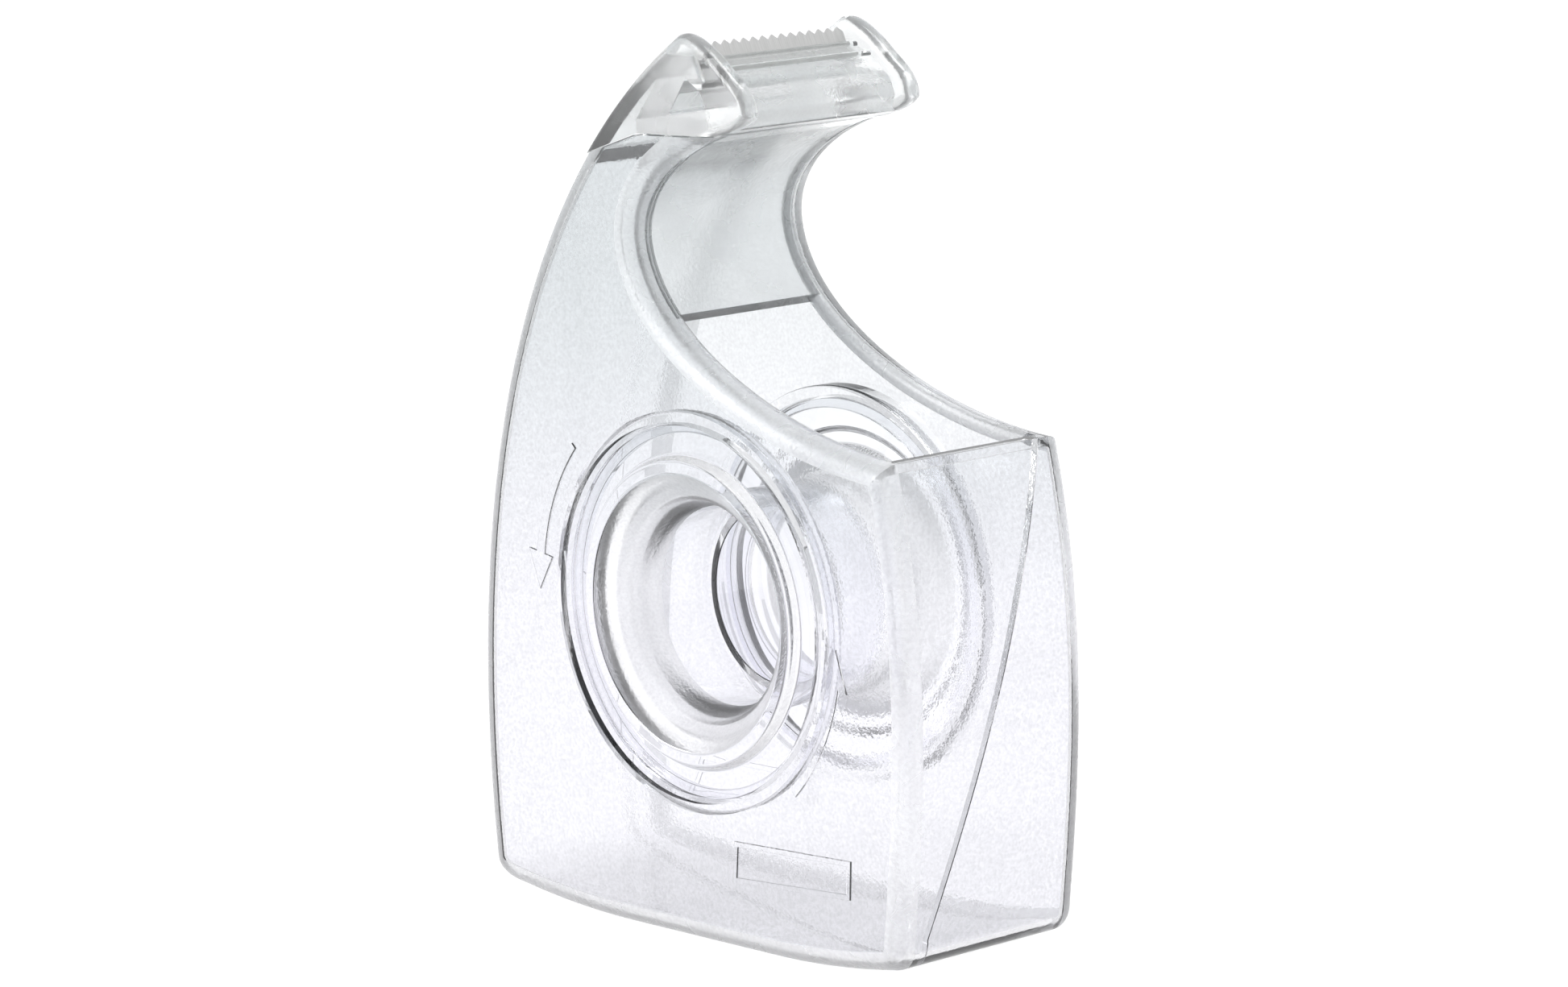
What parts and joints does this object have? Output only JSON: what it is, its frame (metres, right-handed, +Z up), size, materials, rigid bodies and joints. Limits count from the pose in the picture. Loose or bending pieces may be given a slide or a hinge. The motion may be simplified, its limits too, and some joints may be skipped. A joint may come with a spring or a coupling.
{
  "type": "tape dispenser",
  "caption": "Hand-held clear plastic tape dispenser: twist-apart half shells on a hollow hub, thumb arc, ribbed landing pad and serrated steel cutter.",
  "frame": {"origin": "middle of the length and width, on the plane that the base stands on", "axes": "+Z up, +X towards the mouth and cutter's front, +Y to the right shell; the hub axis runs along Y"},
  "size_m": [0.073, 0.0278, 0.1025],
  "materials": {
    "frosted_plastic": "clear polystyrene with a fine spark-eroded frost outside and a polished inside",
    "polished_plastic": "clear polystyrene, polished, with a frosted funnel",
    "clear_plastic": "thick clear polystyrene, polished, with flow marks",
    "blade_steel": "thin rolled steel strip, stamped teeth"
  },
  "bodies": {
    "body": {"left_shell": "frosted_plastic", "left_hub": "polished_plastic", "cutter_head": "clear_plastic", "blade": "blade_steel"},
    "spindle": {"right_hub": "polished_plastic"},
    "cover": {"right_shell": "frosted_plastic"}
  },
  "joints": [
    {"name": "spindle_pull", "type": "slide", "parent": "body", "child": "spindle", "axis": [0, 1, 0], "range_m": [0, 0.013]},
    {"name": "cover_twist", "type": "hinge", "parent": "spindle", "child": "cover", "pos_m": [0.00073, 0, 0.0376], "axis": [0, 1, 0], "range_deg": [0, 45]}
  ],
  "couplings": [
    {"joint": "cover_twist", "follows": "spindle_pull", "rad_per_m": 60.415}
  ]
}
